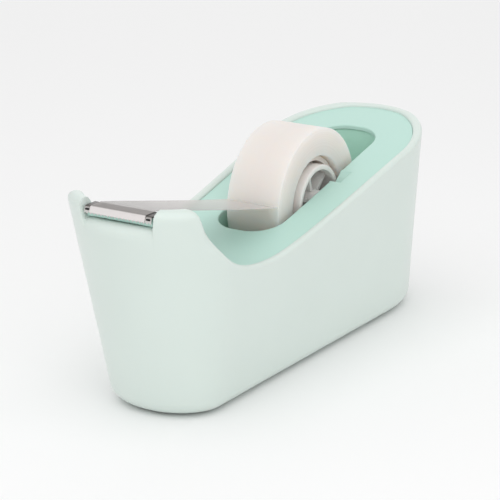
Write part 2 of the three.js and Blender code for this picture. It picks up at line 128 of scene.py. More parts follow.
def mesh_object(name, points, faces, material, sharp=38.0):
    """An object from points in mm; close points are welded and edges above the sharp angle stay crisp."""
    mesh = bpy.data.meshes.new(name)
    placed = (np.asarray(points, float) + SHIFT) * MM
    mesh.from_pydata(placed.tolist(), [], [tuple(int(i) for i in f) for f in faces])
    work = bmesh.new()
    work.from_mesh(mesh)
    bmesh.ops.remove_doubles(work, verts=work.verts, dist=WELD * MM)
    bmesh.ops.dissolve_degenerate(work, edges=work.edges, dist=WELD * MM * 0.5)
    bmesh.ops.recalc_face_normals(work, faces=work.faces)
    work.to_mesh(mesh)
    work.free()
    mesh.shade_smooth()
    mesh.set_sharp_from_angle(angle=math.radians(sharp))
    mesh.materials.append(material)
    obj = bpy.data.objects.new(name, mesh)
    bpy.context.collection.objects.link(obj)
    return obj


class Build:
    """Collects points and faces of one piece."""

    def __init__(self):
        self.points = []
        self.faces = []

    def add(self, points):
        first = len(self.points)
        self.points.extend(np.asarray(points, float).reshape(-1, 3).tolist())
        return first

    def grid(self, rows, closed=True, keep=None):
        """Quads between rows of equal length; keep(row, column) may leave quads out."""
        count = len(rows[0])
        starts = [self.add(row) for row in rows]
        last = count if closed else count - 1
        for r in range(len(rows) - 1):
            for c in range(last):
                if keep is not None and not keep(r, c):
                    continue
                d = (c + 1) % count
                self.faces.append((starts[r] + c, starts[r] + d, starts[r + 1] + d, starts[r + 1] + c))

    def polygon(self, points):
        first = self.add(points)
        self.faces.append(tuple(range(first, first + len(points))))

    def loft(self, rows):
        """A closed solid: rings joined one to the next, with the first and last ring filled."""
        self.grid(rows)
        self.polygon(rows[0])
        self.polygon(rows[-1])

    def lathe(self, profile, centre, steps=96, closed=False):
        """Turns (radius, y) points round an axis that runs along Y."""
        angles = np.linspace(0, 2 * math.pi, steps, endpoint=False)
        rows = []
        for radius, y in profile + (profile[:1] if closed else []):
            rows.append(np.stack([
                centre[0] + radius * np.cos(angles),
                np.full(steps, centre[1] + y),
                centre[2] + radius * np.sin(angles),
            ], axis=1))
        self.grid(rows)

    def prism(self, outline, low, high):
        """A closed bar: the outline's (x, z) points run from low to high along Y."""
        self.loft([[(x, y, z) for x, z in outline] for y in (low, high)])

    def object(self, name, material, **options):
        return mesh_object(name, self.points, self.faces, material, **options)


def fillet(corners, radius, steps=4):
    """Rounds the corners of a closed outline of (a, b) points."""
    result = []
    count = len(corners)
    for i in range(count):
        here = np.array(corners[i], float)
        back = np.array(corners[i - 1], float) - here
        ahead = np.array(corners[(i + 1) % count], float) - here
        cut = min(radius, 0.45 * np.linalg.norm(back), 0.45 * np.linalg.norm(ahead))
        start = here + back / np.linalg.norm(back) * cut
        end = here + ahead / np.linalg.norm(ahead) * cut
        for k in range(steps + 1):
            t = k / steps
            point = start * (1 - t) ** 2 + here * 2 * t * (1 - t) + end * t * t
            result.append((float(point[0]), float(point[1])))
    return result


def rounded_box(a, b, radius, steps=4):
    """A rectangle with rounded corners; a and b are its (low, high) along each direction."""
    return fillet([(a[0], b[0]), (a[1], b[0]), (a[1], b[1]), (a[0], b[1])], radius, steps)


# ---- casing surfaces ----

END_COLUMNS, SIDE_COLUMNS = 89, 131
EDGE_SHARE, EDGE_COLUMNS = 0.028, 15
WAVE_POINTS = 600
SEARCH_Z, SEARCH_STEPS = (25.0, 75.0), 36
ROUND_STEPS, INNER_STEPS, WALL_STEPS, DISH_STEPS = 8, 5, 12, 22


def fuller(value):
    return np.sign(value) * np.abs(value) ** (2 / REAR_FULLNESS)


def casing_columns():
    """Where each column of the casing mesh stands on the outline: section number and share along it."""
    half_angle = math.degrees(math.asin(POCKET_HALF / NOSE_HALF_WIDTH)) / 180
    edge = np.linspace(-EDGE_SHARE, EDGE_SHARE, EDGE_COLUMNS)
    front = np.unique(np.concatenate([
        np.linspace(0, 1, END_COLUMNS), 0.5 - half_angle + edge, 0.5 + half_angle + edge]))[:-1]
    side = np.linspace(0, 1, SIDE_COLUMNS)[:-1]
    rear = np.linspace(0, 1, END_COLUMNS)[:-1]
    section = np.repeat([0, 1, 2, 3], [len(front), len(side), len(rear), len(side)])
    share = np.concatenate([front, side, rear, side])
    return section, share


def outline(columns, z, inset):
    """Plan points of the casing wall at heights z, moved inwards by inset."""
    section, share = columns
    rise = np.asarray(z, float) - FOOT_Z
    t = rise / (LOFT_TOP_Z - FOOT_Z)
    front = FRONT_X + FRONT_LEAN * rise + inset
    rear = REAR_X + REAR_LEAN * rise - inset
    half = HALF_WIDTH + SIDE_FLARE * rise - inset
    front_depth = mix(*FRONT_DEPTH, t) - inset * DEPTH_SHARE
    rear_depth = mix(*REAR_DEPTH, t) - inset * DEPTH_SHARE
    a = math.pi / 2 + math.pi * share
    b = -math.pi / 2 + math.pi * share
    side_front, side_rear = front + front_depth, rear - rear_depth
    which = [section == 0, section == 1, section == 2]
    x = np.select(which, [
        side_front + front_depth * np.cos(a), mix(side_front, side_rear, share),
        side_rear + rear_depth * fuller(np.cos(b))], mix(side_rear, side_front, share))
    y = np.select(which, [half * np.sin(a), -half + 0 * share, half * fuller(np.sin(b))], half + 0 * share)
    return x, y


def wave_table(drop):
    """The rim wave in side view as a dense table of x and z."""
    t = np.linspace(0, 1, WAVE_POINTS)[:, None]

    def bezier(*points):
        p0, p1, p2, p3 = (np.array(p, float) for p in points)
        return p0 * (1 - t) ** 3 + 3 * p1 * t * (1 - t) ** 2 + 3 * p2 * t * t * (1 - t) + p3 * t ** 3

    fall = bezier(NOSE_TOP, (NOSE_TOP[0] + NOSE_RUN, NOSE_TOP[1]), (DROP_X, DIP[1]), DIP)
    climb = bezier(DIP, (DIP[0] + DIP_RUN, DIP[1]), RISE_KNEE, BACK_TOP)
    ahead, behind = (-WAVE_END, NOSE_TOP[1]), (WAVE_END, BACK_TOP[1] + BACK_RISE)
    points = np.concatenate([[ahead], fall, climb[1:], [behind]])
    return points[:, 0], points[:, 1] - drop


RIM_TABLE = wave_table(0)
DECK_TABLE = wave_table(DECK_DROP)


def height(table, x):
    return np.interp(x, *table)


def slope(table, x, step=0.4):
    return (height(table, x + step) - height(table, x - step)) / (2 * step)


def pocket_mask(x, y):
    """1 in the cutter's recess in the nose, 0 outside it."""
    beside = (POCKET_HALF + POCKET_SIDE_BLEND - np.abs(y)) / (2 * POCKET_SIDE_BLEND)
    behind = (POCKET_BACK + POCKET_BACK_BLEND - x) / (2 * POCKET_BACK_BLEND)
    return smooth(beside) * smooth(behind)


def pocket_floor(x):
    """The recess floor, and the ledge that slopes down to the front."""
    return NOSE_FLOOR + np.interp(x, LEDGE_X, LEDGE_Z)


def wall_point(columns, inset, depth):
    """The casing wall at a depth below the rim, measured square to the rim."""
    low = np.full(len(columns[0]), SEARCH_Z[0])
    high = np.full(len(columns[0]), SEARCH_Z[1])
    for _ in range(SEARCH_STEPS):
        middle = (low + high) / 2
        x, y = outline(columns, middle, inset)
        rim = height(RIM_TABLE, x) - depth * np.sqrt(1 + slope(RIM_TABLE, x) ** 2)
        over = middle > mix(rim, pocket_floor(x) - depth, pocket_mask(x, y))
        high = np.where(over, middle, high)
        low = np.where(over, low, middle)
    x, y = outline(columns, middle, inset)
    return np.stack([x, y, middle], axis=1)


def level_row(columns, z, inset):
    """Points of the casing wall at height z, one for each column."""
    z = z + np.zeros(len(columns[0]))
    return np.stack([*outline(columns, z, inset), z], axis=1)


def dish_rows(inner):
    """The hollow top of the nose, from the rim's inner edge back to the front of the deck and down."""
    end = inner.copy()
    end[:, 0] = np.maximum(end[:, 0], DECK_FRONT - GAP)
    in_nose = inner[:, 0] < DECK_FRONT - GAP
    rows = []
    for k in range(1, DISH_STEPS + 1):
        point = mix(inner, end, k / DISH_STEPS)
        x, y = point[:, 0], point[:, 1]
        apart = np.hypot(x[:, None] - inner[None, in_nose, 0], y[:, None] - inner[None, in_nose, 1])
        rim = np.minimum(NOSE_TOP[1], height(RIM_TABLE, x))
        z = mix(np.maximum(rim, DISH_FLOOR), DISH_FLOOR, smooth(apart.min(axis=1) / DISH_RUN))
        z = np.where(in_nose, np.minimum(z, rim), inner[:, 2])
        z = mix(z, np.minimum(z, pocket_floor(x)), pocket_mask(x, y))
        rows.append(np.stack([x, y, z], axis=1))
    end[:, 2] = height(DECK_TABLE, end[:, 0]) - SEAM_DEPTH
    return rows + [end]


def casing_mesh():
    """One closed skin: foot, outer wall, rounded rim, nose dish, inner wall and back to the foot."""
    columns = casing_columns()
    rows = [level_row(columns, FOOT_Z, LIP_INSET)]
    for angle in quarter(ROUND_STEPS):
        across, up = FOOT_ROUND * (1 - math.sin(angle)), FOOT_ROUND * (1 - math.cos(angle))
        rows.append(level_row(columns, FOOT_Z + up, across))
    nose = smooth((NOSE_START - wall_point(columns, 0, 0)[:, 0]) / NOSE_BLEND)
    run = mix(RIM_ROUND[0], NOSE_ROUND[0], nose)
    fall = mix(RIM_ROUND[1], NOSE_ROUND[1], nose)
    start = wall_point(columns, 0, fall)
    for k in range(1, WALL_STEPS):
        rows.append(level_row(columns, mix(FOOT_Z + FOOT_ROUND, start[:, 2], k / WALL_STEPS), 0))
    for angle in quarter(ROUND_STEPS):
        rows.append(wall_point(columns, run * (1 - math.cos(angle)), fall * (1 - math.sin(angle))))
    inner_run = np.maximum(WALL - run, LEAST_RUN)
    inner_fall = mix(RIM_INNER_ROUND, 0, nose)
    for angle in quarter(INNER_STEPS, 1):
        inset, depth = run + inner_run * math.sin(angle), inner_fall * (1 - math.cos(angle))
        rows.append(wall_point(columns, inset, depth))
    inner = rows[-1]
    rows += dish_rows(inner)
    under = np.minimum(height(DECK_TABLE, inner[:, 0]) - UNDER_DECK, inner[:, 2] - UNDER_RIM)
    rows.append(level_row(columns, under, WALL))
    rows.append(level_row(columns, FOOT_Z + SHELF_RISE, WALL))
    rows.append(level_row(columns, FOOT_Z + LIP_RISE, LIP_INSET))
    rows.append(rows[0])
    build = Build()
    build.grid(rows)
    return build


# ---- deck ----

SEAT_STEPS = 12
OPEN_SPACING, BLOCK_SPACING = 1.4, 1.0
NOTCH_STEPS, NOTCH_STATION = 4, 0.2
END_STEPS = 56
DECK_STEPS, EDGE_STEPS = 34, 4
SIDE_POINTS, FRONT_POINTS, REAR_POINTS = 80, 40, 120


def groove_profile():
    """Side view of a notch, from its mouth down the front wall, round the pin seat and up the back wall."""
    along = np.array([math.cos(GROOVE_LEAN), math.sin(GROOVE_LEAN)])
    centre, radius = np.array([AXLE[0], AXLE[2]]), GROOVE_WIDTH / 2
    angles = [GROOVE_LEAN + math.pi / 2 + math.pi * k / SEAT_STEPS for k in range(SEAT_STEPS + 1)]
    seat = [centre + radius * np.array([math.cos(angle), math.sin(angle)]) for angle in angles]

    def mouth(point):
        reach = np.linspace(0, 30, 3001)
        line = point + reach[:, None] * along
        return line[np.argmax(line[:, 1] >= height(DECK_TABLE, line[:, 0]))]

    return [mouth(seat[0]), *seat, mouth(seat[-1])]


def slot_path(grow, notched):
    """Plan points round the slot with a station along each side, and whether each is on a block or notch.

    The order is front end, near side, rear end, far side, the same as the casing columns."""
    x0, x1 = SLOT_X[0] - grow, SLOT_X[1] + grow
    half, corner = SLOT_HALF + grow, SLOT_CORNER + grow
    section, share, points, on_block, on_notch = [], [], [], [], []

    def put(part, station, x, y, block=False, notch=False):
        section.append(part)
        share.append(station)
        points.append((x, y))
        on_block.append(block)
        on_notch.append(notch)

    flat = half - corner
    arc = math.pi / 2 * corner
    length = 2 * arc + 2 * flat

    def end_point(distance):
        if distance < arc:
            angle = distance / corner
            return corner * math.sin(angle), flat + corner * math.cos(angle)
        if distance < arc + 2 * flat:
            return corner, flat - (distance - arc)
        angle = (distance - arc - 2 * flat) / corner
        return corner * math.cos(angle), -flat - corner * math.sin(angle)

    ends = [(k / END_STEPS, *end_point(length * k / END_STEPS)) for k in range(END_STEPS)]
    sides = side_stations(x0 + corner, x1 - corner, notched)
    for station, out, y in ends:
        put(0, station, x0 + corner - out, y)
    for station, x, out, block, notch in sides[:-1]:
        put(1, station, x, -half - out, block, notch)
    for station, out, y in ends:
        put(2, station, x1 - corner + out, -y)
    for station, x, out, block, notch in sides[::-1][:-1]:
        put(3, 1 - station, x, half + out, block, notch)
    columns = (np.array(section, float), np.array(share, float))
    return columns, np.array(points), np.array(on_block), np.array(on_notch)


def side_stations(start, end, notched):
    """Points along a straight side of the slot: station, x, how far out, on a block, on a notch."""
    profile = groove_profile()
    mouth_front, mouth_back = profile[0][0], profile[-1][0]
    found = []

    def run(a, b, spacing, block):
        steps = max(1, round((b - a) / spacing))
        for k in range(steps):
            x = mix(a, b, k / steps)
            found.append((x, x, 0.0, block, False))

    run(start, BLOCK_X[0], OPEN_SPACING, False)
    run(BLOCK_X[0], mouth_front, BLOCK_SPACING, True)
    if notched:
        width = NOTCH_STEPS * NOTCH_STATION
        for k in range(NOTCH_STEPS + 1):
            out = GROOVE_DEPTH * k / NOTCH_STEPS
            found.append((mouth_front + NOTCH_STATION * k, mouth_front, out, True, True))
        for k in range(1, NOTCH_STEPS):
            x = mix(mouth_front, mouth_back, k / NOTCH_STEPS)
            station = mix(mouth_front + width, mouth_back - width, k / NOTCH_STEPS)
            found.append((station, x, GROOVE_DEPTH, True, True))
        for k in range(NOTCH_STEPS):
            out = GROOVE_DEPTH * (1 - k / NOTCH_STEPS)
            found.append((mouth_back - NOTCH_STATION * (NOTCH_STEPS - k), mouth_back, out, True, True))
        found.append((mouth_back, mouth_back, 0.0, True, True))
        run(mouth_back + BLOCK_SPACING, BLOCK_X[1], BLOCK_SPACING, True)
    else:
        run(mouth_front, BLOCK_X[1], BLOCK_SPACING, True)
    run(BLOCK_X[1], end, OPEN_SPACING, False)
    found.append((end, end, 0.0, False, False))
    return [((s - start) / (end - start), x, out, block, notch) for s, x, out, block, notch in found]


def deck_half_width(x):
    """How far the deck reaches to each side at x."""
    inset = WALL + DECK_SEAM
    rise = height(DECK_TABLE, x) - FOOT_Z
    t = rise / (LOFT_TOP_Z - FOOT_Z)
    half = HALF_WIDTH + SIDE_FLARE * rise - inset
    front_depth = mix(*FRONT_DEPTH, t) - inset * DEPTH_SHARE
    rear_depth = mix(*REAR_DEPTH, t) - inset * DEPTH_SHARE
    ahead = (FRONT_X + FRONT_LEAN * rise + inset + front_depth - x) / front_depth
    behind = (x - (REAR_X + REAR_LEAN * rise - inset - rear_depth)) / rear_depth
    front_half = np.sqrt(np.clip(1 - np.clip(ahead, 0, 1) ** 2, 0, 1))
    rear_half = np.clip(1 - np.clip(behind, 0, 1) ** REAR_FULLNESS, 0, 1) ** (1 / REAR_FULLNESS)
    return half * front_half * rear_half


def evenly(path, count):
    """The first count of count + 1 points spaced evenly along a plan path."""
    gone = np.concatenate([[0], np.cumsum(np.linalg.norm(np.diff(path, axis=0), axis=1))])
    wanted = np.linspace(0, gone[-1], count + 1)[:-1]
    return np.stack([np.interp(wanted, gone, path[:, 0]), np.interp(wanted, gone, path[:, 1])], axis=1)


def deck_outer(section, stations):
    """The deck's outer edge in plan: one point for each point of the slot's edge."""
    start, end = SLOT_X[0] + SLOT_CORNER, SLOT_X[1] - SLOT_CORNER
    side_x = np.linspace(start, DECK_FRONT, SIDE_POINTS)
    side_y = deck_half_width(side_x)
    across = np.linspace(side_y[-1], -side_y[-1], FRONT_POINTS)[1:-1]
    front = np.concatenate([
        np.stack([side_x, side_y], axis=1), np.stack([np.full(len(across), DECK_FRONT), across], axis=1),
        np.stack([side_x, -side_y], axis=1)[::-1]])
    tip = REAR_X + REAR_LEAN * (height(DECK_TABLE, REAR_X) - FOOT_Z) - WALL - DECK_SEAM
    rear_x = end + (tip - end) * np.sin(np.linspace(0, math.pi / 2, REAR_POINTS))
    rear_y = deck_half_width(rear_x)
    rear_y[-1] = 0
    rear = np.concatenate([np.stack([rear_x, -rear_y], axis=1), np.stack([rear_x, rear_y], axis=1)[-2::-1]])
    plan = np.zeros((len(section), 2))
    plan[section == 0] = evenly(front, int((section == 0).sum()))
    plan[section == 2] = evenly(rear, int((section == 2).sum()))
    for part, side in ((1, -1), (3, 1)):
        here = section == part
        plan[here] = np.stack([stations[here], side * deck_half_width(stations[here])], axis=1)
    return plan


def on_deck(plan, drop=0.0):
    """Plan points on the deck's top surface, or a drop below it."""
    return np.stack([plan[:, 0], plan[:, 1], height(DECK_TABLE, plan[:, 0]) - drop], axis=1)


def away_from_slot(slot):
    """Unit directions outwards from the slot's edge, in plan."""
    straight_start, straight_end = SLOT_X[0] + SLOT_CORNER, SLOT_X[1] - SLOT_CORNER
    centre_x = np.clip(slot[:, 0], straight_start, straight_end)
    centre_y = np.sign(slot[:, 1]) * np.minimum(np.abs(slot[:, 1]), SLOT_HALF - SLOT_CORNER)
    straight = (slot[:, 0] > straight_start) & (slot[:, 0] < straight_end)
    away = slot - np.stack([centre_x, centre_y], axis=1)
    away[straight] = np.stack([np.zeros(straight.sum()), np.sign(slot[straight, 1])], axis=1)
    return away / np.linalg.norm(away, axis=1)[:, None]


def add_block(build, side, front, rear):
    """The block under one side of the deck, cut by its notch; front and rear are the deck's edge points."""
    profile = groove_profile()
    face = side * SLOT_HALF
    end = side * (SLOT_HALF + GROOVE_DEPTH)
    outer = end + side
    last = (BLOCK_X[1], face, height(DECK_TABLE, BLOCK_X[1]) - DECK_EDGE)
    groove = [(x, face, z) for x, z in profile]
    low_front, low_rear = ((x, face, BLOCK_FLOOR) for x in BLOCK_X)
    build.polygon([low_front, *front, *groove, *rear, last, low_rear])
    build.grid([[(x, y, z) for x, z in profile] for y in np.linspace(face, end, 5)], closed=False)
    top = [(x, end, height(DECK_TABLE, x)) for x in np.linspace(profile[-1][0], profile[0][0], 5)[1:-1]]
    build.polygon([(x, end, z) for x, z in profile] + top)
    for x in BLOCK_X:
        z = height(DECK_TABLE, x)
        upper = [(x, face, z - DECK_EDGE), (x, outer, z - BLOCK_DROP)]
        build.polygon([(x, face, BLOCK_FLOOR), *upper, (x, outer, BLOCK_FLOOR)])
    build.polygon([low_front, low_rear, (BLOCK_X[1], outer, BLOCK_FLOOR), (BLOCK_X[0], outer, BLOCK_FLOOR)])


def deck_mesh():
    (section, share), slot, on_block, on_notch = slot_path(0, True)
    along = np.where(section == 1, share, 1 - share)
    stations = mix(SLOT_X[0] + SLOT_CORNER, SLOT_X[1] - SLOT_CORNER, along)
    outer = deck_outer(section, stations)
    away = away_from_slot(slot)
    round_edge = np.where(on_notch, 0.0, DECK_EDGE)
    first = slot + away * round_edge[:, None]
    rows = [on_deck(mix(outer, first, k / DECK_STEPS)) for k in range(DECK_STEPS + 1)]
    for angle in quarter(EDGE_STEPS, 1):
        plan = slot + away * (round_edge * (1 - math.sin(angle)))[:, None]
        rows.append(on_deck(plan, round_edge * (1 - math.cos(angle))))
    edge_row = len(rows) - 1
    rows.append(on_deck(slot, DECK_SHEET))
    rows.append(on_deck(slot + away * DECK_UNDER, DECK_SHEET))
    following = np.roll(on_block, -1)

    def keep(row, column):
        return row < edge_row or not (on_block[column] and (following[column] or on_notch[column]))

    build = Build()
    build.grid(rows, keep=keep)
    build.grid([on_deck(outer), on_deck(outer, DECK_SKIRT)])
    profile = groove_profile()
    plain = np.flatnonzero(on_block & ~on_notch)
    for side in (-1, 1):
        chosen = [i for i in plain if np.sign(slot[i, 1]) == side]
        chosen.sort(key=lambda i: slot[i, 0])
        front = [rows[edge_row][i] for i in chosen if slot[i, 0] < profile[0][0]]
        rear = [rows[edge_row][i] for i in chosen if slot[i, 0] > profile[-1][0]]
        add_block(build, side, front, rear)
    return build


WELL_STEPS, FLOOR_STATIONS, FLOOR_COLUMNS = 12, 60, 17


def well_floor(x):
    x0, x1 = SLOT_X[0] - WELL_CLEARANCE, SLOT_X[1] + WELL_CLEARANCE
    reach = np.maximum(np.maximum(x0 + WELL_ROUND - x, x - (x1 - WELL_ROUND)), 0)
    return WELL_FLOOR + WELL_ROUND - np.sqrt(np.maximum(WELL_ROUND ** 2 - reach ** 2, 0))


def well_mesh():
    _, inner, on_block, _ = slot_path(WELL_CLEARANCE, False)
    _, outer, _, _ = slot_path(WELL_CLEARANCE + WELL_WALL, False)
    x = inner[:, 0]
    top = np.where(on_block, BLOCK_FLOOR - GAP, height(DECK_TABLE, x) - DECK_SHEET - GAP)
    rows = [np.stack([*outer.T, top - WELL_SKIRT], axis=1), np.stack([*outer.T, top], axis=1)]
    for k in range(WELL_STEPS + 1):
        rows.append(np.stack([*inner.T, mix(top, well_floor(x), k / WELL_STEPS)], axis=1))
    build = Build()
    build.grid(rows)
    x0, x1 = SLOT_X[0] - WELL_CLEARANCE, SLOT_X[1] + WELL_CLEARANCE
    half, corner = SLOT_HALF + WELL_CLEARANCE, SLOT_CORNER + WELL_CLEARANCE
    floor_rows = []
    for station in mix(x0, x1, (1 - np.cos(np.linspace(0, math.pi, FLOOR_STATIONS))) / 2):
        reach = max(x0 + corner - station, station - (x1 - corner), 0)
        width = half - corner + math.sqrt(max(corner ** 2 - reach ** 2, 0))
        z = float(well_floor(station))
        floor_rows.append([(station, y, z) for y in np.linspace(-width, width, FLOOR_COLUMNS)])
    build.grid(floor_rows, closed=False)
    return build


# ---- materials ----


class Finish:
    """A material's node tree, with short ways to add nodes and join them."""

    def __init__(self, name):
        self.material = bpy.data.materials.new(name)
        self.material.use_nodes = True
        self.nodes = self.material.node_tree.nodes
        self.links = self.material.node_tree.links
        self.shader = self.nodes["Principled BSDF"]

    def join(self, value, socket):
        """Gives a socket a constant, or another node's output."""
        if isinstance(value, bpy.types.NodeSocket):
            self.links.new(value, socket)
        else:
            socket.default_value = value

    def add(self, kind, inputs, **settings):
        node = self.nodes.new("ShaderNode" + kind)
        for key, value in settings.items():
            setattr(node, key, value)
        for key, value in inputs.items():
            self.join(value, node.inputs[key])
        return node.outputs

    def place(self):
        return self.add("TexCoord", {})["Object"]

    def axes(self, place):
        return self.add("SeparateXYZ", {"Vector": place})

    def stretched(self, place, scale):
        return self.add("Mapping", {"Vector": place, "Scale": scale})["Vector"]

    def noise(self, place, scale, detail):
        return self.add("TexNoise", {"Vector": place, "Scale": scale, "Detail": detail})["Fac"]

    def line_noise(self, distance, scale, detail):
        """Noise that changes in one direction only."""
        inputs = {"W": distance, "Scale": scale, "Detail": detail}
        return self.add("TexNoise", inputs, noise_dimensions="1D")["Fac"]

    def math(self, operation, *values):
        return self.add("Math", dict(enumerate(values)), operation=operation)["Value"]

    def spread(self, value, low, high, ends=(0.0, 1.0)):
        """The range from low to high, as value goes from one end to the other."""
        inputs = {"Value": value, "From Min": ends[0], "From Max": ends[1], "To Min": low, "To Max": high}
        return self.add("MapRange", inputs)["Result"]

    def ramp(self, value, low, high, ends=(0.0, 1.0)):
        """A colour from low to high, as value goes from one end to the other."""
        node = self.nodes.new("ShaderNodeValToRGB")
        self.join(value, node.inputs["Fac"])
        for element, position, color in zip(node.color_ramp.elements, ends, (low, high)):
            element.position = position
            element.color = (*color, 1)
        return node.outputs["Color"]

    def mixed(self, factor, first, second, blend_type="MIX"):
        """Two colours mixed; each is a constant or another node's output."""
        inputs = {"Factor": factor}
        for key, color in (("A", first), ("B", second)):
            inputs[key] = (*color, 1) if isinstance(color, tuple) else color
        return self.add("Mix", inputs, data_type="RGBA", blend_type=blend_type)["Result"]

    def relief(self, height_value, strength, distance):
        inputs = {"Height": height_value, "Strength": strength, "Distance": distance}
        return self.add("Bump", inputs)["Normal"]

    def surface(self, inputs):
        for key, value in inputs.items():
            self.join(value, self.shader.inputs[key])
        return self.material


def plastic(name, light, dark, roughness, grain=900.0, bump=0.03, coat=0.0, soft=0.0):
    """Moulded plastic: faint colour drift, fine surface grain and uneven gloss."""
    finish = Finish(name)
    place = finish.place()
    fine = finish.noise(place, grain, 3.0)
    return finish.surface({
        "Base Color": finish.ramp(finish.noise(place, 28.0, 4.0), dark, light, (0.3, 0.7)),
        "Roughness": finish.spread(fine, roughness - 0.05, roughness + 0.05),
        "Normal": finish.relief(fine, bump, 0.0002),
        "Coat Weight": coat,
        "Coat Roughness": 0.2,
        "Subsurface Weight": soft,
        "Subsurface Radius": (1.0, 0.9, 0.8),
        "Subsurface Scale": 0.002,
    })


def metal(name, color, roughness, brushed=(1, 1, 1), painted_highlight=None, painted_highlight_x=None):
    """Rolled or plated metal with fine lines across it; the optional highlight tone is painted on the metal
    ahead of its x.
    """
    finish = Finish(name)
    place = finish.place()
    lines = finish.noise(finish.stretched(place, brushed), 1500.0, 4.0)
    dull = tuple(c * 0.85 for c in color)
    shiny = tuple(min(1.0, c * 1.12) for c in color)
    tone = finish.ramp(lines, dull, shiny)
    if painted_highlight:
        ahead = finish.spread(finish.axes(place)["X"], 1, 0, painted_highlight_x)
        tone = finish.mixed(ahead, tone, painted_highlight)
    return finish.surface({
        "Base Color": tone,
        "Roughness": finish.spread(lines, roughness - 0.06, roughness + 0.08),
        "Metallic": 1.0,
    })


def wound_tape(name, low, high):
    """Frosted film wound up: the side shows faint rings, the face faint bands along the turns."""
    finish = Finish(name)
    axes = finish.axes(finish.place())
    squares = [finish.math("POWER", axes[axis], 2.0) for axis in ("X", "Z")]
    radius = finish.math("SQRT", finish.math("ADD", *squares))
    rings = finish.math("MULTIPLY", finish.line_noise(radius, 1900.0, 5.0), 0.85)
    bands = finish.math("MULTIPLY", finish.line_noise(axes["Y"], 420.0, 3.0), 0.15)
    turns = finish.math("ADD", rings, bands)
    return finish.surface({
        "Base Color": finish.ramp(turns, low, high, (0.3, 0.7)),
        "Normal": finish.relief(turns, 0.06, 0.0001),
        "Roughness": 0.5,
        "Subsurface Weight": 0.8,
        "Subsurface Radius": (1.0, 0.8, 0.65),
        "Subsurface Scale": 0.012,
    })


def clear_plastic(name, rim, web, radii, clearness, roughness):
    """Clear moulding that reads pale at its rim and greyer across the web; radii are where it turns."""
    finish = Finish(name)
    place = finish.place()
    haze = finish.noise(place, 160.0, 3.0)
    flat = finish.add("VectorMath", {0: place, 1: (1, 0, 1)}, operation="MULTIPLY")["Vector"]
    radius = finish.add("VectorMath", {0: flat}, operation="LENGTH")["Value"]
    tone = finish.mixed(finish.spread(radius, 0, 1, radii), web, rim)
    shade = finish.spread(haze, 0.88, 1)
    return finish.surface({
        "Base Color": finish.mixed(1.0, tone, shade, "MULTIPLY"),
        "Roughness": finish.spread(haze, roughness, roughness + 0.1),
        "Transmission Weight": clearness,
        "Subsurface Weight": 0.5,
        "Subsurface Radius": (1.0, 0.9, 0.85),
        "Subsurface Scale": 0.004,
        "IOR": 1.45,
    })


def film(name, color, cut_end, lip_color, cover, lip_cover):
    """Frosted film: part of the light goes straight through, and it greys towards the cutter. Ahead of the
    lip's edge it turns paler and more opaque: this is the film lying over the teeth, with a painted
    highlight along the lip's front.
    """
    finish = Finish(name)
    place = finish.place()
    lines = finish.noise(finish.stretched(place, (30, 900, 30)), 1.0, 3.0)
    streaks = finish.ramp(lines, (0.95, 0.95, 0.95), (1, 1, 1))
    x = finish.axes(place)["X"]
    tone = finish.mixed(finish.spread(x, 0, 1, FILM_TONES), cut_end, color)
    streaked = finish.mixed(1.0, tone, streaks, "MULTIPLY")
    lip = finish.spread(x, 1, 0, FILM_LIP)
    return finish.surface({
        "Base Color": finish.mixed(lip, streaked, lip_color),
        "Alpha": finish.spread(lip, cover, lip_cover),
        "Roughness": 0.45,
    })


def floor_paint(name):
    """Very pale and matt, with a faint drift."""
    finish = Finish(name)
    drift = finish.add("TexNoise", {"Scale": 6.0})["Fac"]
    return finish.surface({
        "Base Color": finish.ramp(drift, (0.955, 0.955, 0.955), (0.97, 0.97, 0.97)),
        "Roughness": 0.9,
        "Specular IOR Level": 0.1,
    })


FILM_TONES = ((-66 + SHIFT[0]) * MM, (-12 + SHIFT[0]) * MM)
# where the paler lip starts: the film over the teeth, with a painted highlight on blade and film
FILM_LIP = ((-74.0 + SHIFT[0]) * MM, (-73.7 + SHIFT[0]) * MM)
SHELL = plastic("shell_pearl_mint", (0.72, 0.805, 0.76), (0.70, 0.785, 0.74), 0.32, coat=0.15, soft=0.12)
DECK = plastic("deck_mint", (0.53, 0.775, 0.695), (0.515, 0.755, 0.675), 0.4)
# The well is the same mint plastic as the deck, made lighter as painted light against the shade down in the
# slot; the base plate takes the same tone.
WELL = plastic("well_mint_painted_lighter", (0.54, 0.86, 0.73), (0.52, 0.83, 0.70), 0.5)
TAPE = wound_tape("tape_wound", (0.80, 0.735, 0.70), (0.835, 0.775, 0.74))
CORE = plastic("core_cream", (0.83, 0.76, 0.71), (0.79, 0.72, 0.67), 0.5, soft=0.3)
HUB = clear_plastic("hub_clear", (0.98, 0.91, 0.88), (0.97, 0.93, 0.90), (0.0085, 0.0105), 0.08, 0.14)
FILM = film("tape_film", (0.76, 0.71, 0.69), (0.44, 0.415, 0.40), (0.84, 0.80, 0.79), 0.5, 0.86)
# The steel's near-black tone is a painted dark reflection; the blade is chrome.
BLADE = metal(
    "blade_steel", (0.09, 0.078, 0.072), 0.26,
    # the pale tone ahead of the lip's edge is a painted highlight, under the film that lies over the teeth
    brushed=(1, 0.06, 1), painted_highlight=(0.82, 0.80, 0.78), painted_highlight_x=FILM_LIP)
